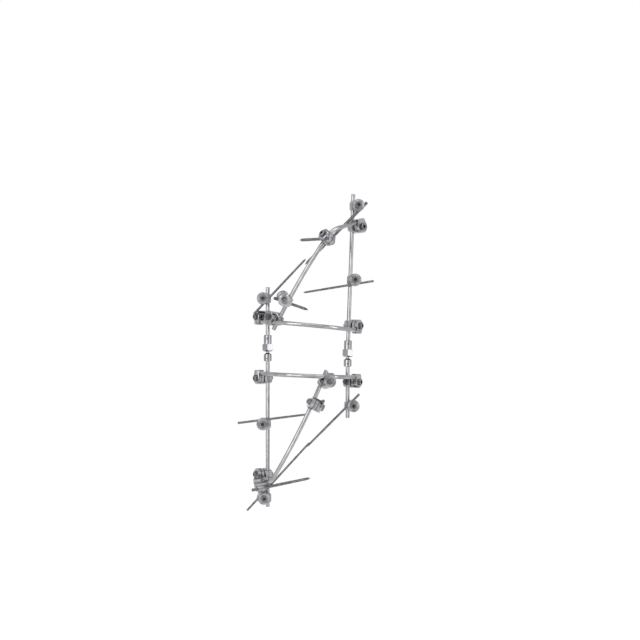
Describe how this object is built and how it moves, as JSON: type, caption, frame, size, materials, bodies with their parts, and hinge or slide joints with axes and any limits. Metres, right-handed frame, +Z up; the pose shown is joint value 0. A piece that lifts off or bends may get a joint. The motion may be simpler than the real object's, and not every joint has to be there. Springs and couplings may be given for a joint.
{
  "type": "external fixator",
  "caption": "Knee-spanning external fixator of polished steel rods: uprights at the sides, arched cross bars, bent braces, ball joints at the knee, bone pins in round clamps.",
  "frame": {"origin": "midway between the two ball centres, on the knee's bending axis", "axes": "+Z up along the thigh, +X to the viewer's right in the picture, +Y away from the viewer"},
  "size_m": [0.2666, 0.1053, 0.6215],
  "materials": {
    "rod_steel": "polished",
    "clamp_steel": "polished",
    "pin_steel": "satin",
    "joint_steel": "polished",
    "fastener_steel": "satin"
  },
  "bodies": {
    "femoral_frame": {"femoral_bar_left_clamp": "clamp_steel", "femoral_bar_right_clamp": "clamp_steel", "femoral_brace": "rod_steel", "femoral_brace_bar_clamp": "clamp_steel", "femoral_brace_rod_clamp": "clamp_steel", "femoral_clamp_bolts": "fastener_steel", "femoral_clamp_nuts": "fastener_steel", "femoral_cross_bar": "rod_steel", "femoral_left_rod": "rod_steel", "femoral_pin_1_rod_jaws": "clamp_steel", "femoral_pin_2_rod_jaws": "clamp_steel", "femoral_pin_3_rod_jaws": "clamp_steel", "femoral_pin_4_rod_jaws": "clamp_steel", "femoral_pin_5_rod_jaws": "clamp_steel", "femoral_right_rod": "rod_steel", "femoral_set_screws": "fastener_steel", "left_ball_housing": "joint_steel", "left_lock_nut": "joint_steel", "right_ball_housing": "joint_steel", "right_lock_nut": "joint_steel"},
    "tibial_frame": {"left_ball_stud": "joint_steel", "right_ball_stud": "joint_steel", "tibial_bar_left_clamp": "clamp_steel", "tibial_bar_right_clamp": "clamp_steel", "tibial_brace": "rod_steel", "tibial_brace_bar_clamp": "clamp_steel", "tibial_brace_rod_clamp": "clamp_steel", "tibial_clamp_bolts": "fastener_steel", "tibial_clamp_nuts": "fastener_steel", "tibial_cross_bar": "rod_steel", "tibial_left_rod": "rod_steel", "tibial_pin_1_rod_jaws": "clamp_steel", "tibial_pin_2_rod_jaws": "clamp_steel", "tibial_pin_3_rod_jaws": "clamp_steel", "tibial_pin_4_rod_jaws": "clamp_steel", "tibial_pin_5_rod_jaws": "clamp_steel", "tibial_right_rod": "rod_steel", "tibial_set_screws": "fastener_steel"},
    "femoral_pin_1": {"femoral_pin_1": "pin_steel"},
    "femoral_pin_1_jaws": {"femoral_pin_1_pin_jaws": "clamp_steel"},
    "femoral_pin_2": {"femoral_pin_2": "pin_steel"},
    "femoral_pin_2_jaws": {"femoral_pin_2_pin_jaws": "clamp_steel"},
    "femoral_pin_3": {"femoral_pin_3": "pin_steel"},
    "femoral_pin_3_jaws": {"femoral_pin_3_pin_jaws": "clamp_steel"},
    "femoral_pin_4": {"femoral_pin_4": "pin_steel"},
    "femoral_pin_4_jaws": {"femoral_pin_4_pin_jaws": "clamp_steel"},
    "femoral_pin_5": {"femoral_pin_5": "pin_steel"},
    "femoral_pin_5_jaws": {"femoral_pin_5_pin_jaws": "clamp_steel"},
    "tibial_pin_1": {"tibial_pin_1": "pin_steel"},
    "tibial_pin_1_jaws": {"tibial_pin_1_pin_jaws": "clamp_steel"},
    "tibial_pin_2": {"tibial_pin_2": "pin_steel"},
    "tibial_pin_2_jaws": {"tibial_pin_2_pin_jaws": "clamp_steel"},
    "tibial_pin_3": {"tibial_pin_3": "pin_steel"},
    "tibial_pin_3_jaws": {"tibial_pin_3_pin_jaws": "clamp_steel"},
    "tibial_pin_4": {"tibial_pin_4": "pin_steel"},
    "tibial_pin_4_jaws": {"tibial_pin_4_pin_jaws": "clamp_steel"},
    "tibial_pin_5": {"tibial_pin_5": "pin_steel"},
    "tibial_pin_5_jaws": {"tibial_pin_5_pin_jaws": "clamp_steel"}
  },
  "joints": [
    {"name": "knee_flexion", "type": "hinge", "parent": "femoral_frame", "child": "tibial_frame", "pos_m": [0, 0, 0], "axis": [0.9977, 0, -0.0685], "range_deg": [-22, 22]},
    {"name": "femoral_pin_1_swivel", "type": "hinge", "parent": "femoral_frame", "child": "femoral_pin_1_jaws", "pos_m": [0.0994, -0.01146, 0.28579], "axis": [0.0651, -0.9979, -0.0023], "range_deg": [-10, 5]},
    {"name": "femoral_pin_1_slide", "type": "slide", "parent": "femoral_pin_1_jaws", "child": "femoral_pin_1", "axis": [-0.7028, -0.0442, -0.71], "range_m": [-0.106, 0.004]},
    {"name": "femoral_pin_2_swivel", "type": "hinge", "parent": "femoral_frame", "child": "femoral_pin_2_jaws", "pos_m": [0.03309, -0.06684, 0.2206], "axis": [-0.6463, -0.5661, 0.5118], "range_deg": [-30, 30]},
    {"name": "femoral_pin_2_slide", "type": "slide", "parent": "femoral_pin_2_jaws", "child": "femoral_pin_2", "axis": [-0.6352, 0.7707, 0.0504], "range_m": [-0.02, 0.004]},
    {"name": "femoral_pin_3_swivel", "type": "hinge", "parent": "femoral_frame", "child": "femoral_pin_3_jaws", "pos_m": [0.09339, -0.01211, 0.1397], "axis": [-0.0011, -1, 0], "range_deg": [-30, 30]},
    {"name": "femoral_pin_3_slide", "type": "slide", "parent": "femoral_pin_3_jaws", "child": "femoral_pin_3", "axis": [-0.9866, 0.0011, -0.1631], "range_m": [-0.054, 0.0075]},
    {"name": "femoral_pin_4_swivel", "type": "hinge", "parent": "femoral_frame", "child": "femoral_pin_4_jaws", "pos_m": [-0.08753, -0.01259, 0.10341], "axis": [0.0539, -0.9985, 0], "range_deg": [-30, 10]},
    {"name": "femoral_pin_4_slide", "type": "slide", "parent": "femoral_pin_4_jaws", "child": "femoral_pin_4", "axis": [0.6834, 0.0369, 0.7291], "range_m": [-0.064, 0.022]},
    {"name": "femoral_pin_5_swivel", "type": "hinge", "parent": "femoral_frame", "child": "femoral_pin_5_jaws", "pos_m": [-0.04735, -0.0332, 0.10509], "axis": [-0.1771, 0.8918, 0.4163], "range_deg": [-30, 30]},
    {"name": "femoral_pin_5_slide", "type": "slide", "parent": "femoral_pin_5_jaws", "child": "femoral_pin_5", "axis": [0.8988, 0.3189, -0.3009], "range_m": [-0.007, 0.0035]},
    {"name": "tibial_pin_1_swivel", "type": "hinge", "parent": "tibial_frame", "child": "tibial_pin_1_jaws", "pos_m": [-0.08786, -0.01236, -0.14252], "axis": [0.0275, -0.9996, 0], "range_deg": [-30, 30]},
    {"name": "tibial_pin_1_slide", "type": "slide", "parent": "tibial_pin_1_jaws", "child": "tibial_pin_1", "axis": [0.9921, 0.0273, 0.1225], "range_m": [-0.038, 0.008]},
    {"name": "tibial_pin_2_swivel", "type": "hinge", "parent": "tibial_frame", "child": "tibial_pin_2_jaws", "pos_m": [0.08932, -0.01113, -0.1073], "axis": [0.0959, -0.9954, 0], "range_deg": [-20, 15]},
    {"name": "tibial_pin_2_slide", "type": "slide", "parent": "tibial_pin_2_jaws", "child": "tibial_pin_2", "axis": [-0.7081, -0.0682, -0.7028], "range_m": [-0.072, 0.0125]},
    {"name": "tibial_pin_3_swivel", "type": "hinge", "parent": "tibial_frame", "child": "tibial_pin_3_jaws", "pos_m": [0.02276, -0.06662, -0.10478], "axis": [0.8866, 0.1647, -0.4321], "range_deg": [-10, 30]},
    {"name": "tibial_pin_3_slide", "type": "slide", "parent": "tibial_pin_3_jaws", "child": "tibial_pin_3", "axis": [-0.2727, 0.9409, -0.2009], "range_m": [-0.021, 0.0055]},
    {"name": "tibial_pin_4_swivel", "type": "hinge", "parent": "tibial_frame", "child": "tibial_pin_4_jaws", "pos_m": [-0.09158, -0.02296, -0.26557], "axis": [0.1583, 0.0734, -0.9847], "range_deg": [-20, 30]},
    {"name": "tibial_pin_4_slide", "type": "slide", "parent": "tibial_pin_4_jaws", "child": "tibial_pin_4", "axis": [0.9591, 0.2258, 0.171], "range_m": [-0.049, 0.007]},
    {"name": "tibial_pin_5_swivel", "type": "hinge", "parent": "tibial_frame", "child": "tibial_pin_5_jaws", "pos_m": [-0.08602, -0.01353, -0.28803], "axis": [0.1691, -0.9856, 0], "range_deg": [-30, 5]},
    {"name": "tibial_pin_5_slide", "type": "slide", "parent": "tibial_pin_5_jaws", "child": "tibial_pin_5", "axis": [0.6774, 0.1163, 0.7264], "range_m": [-0.091, 0.0265]}
  ]
}
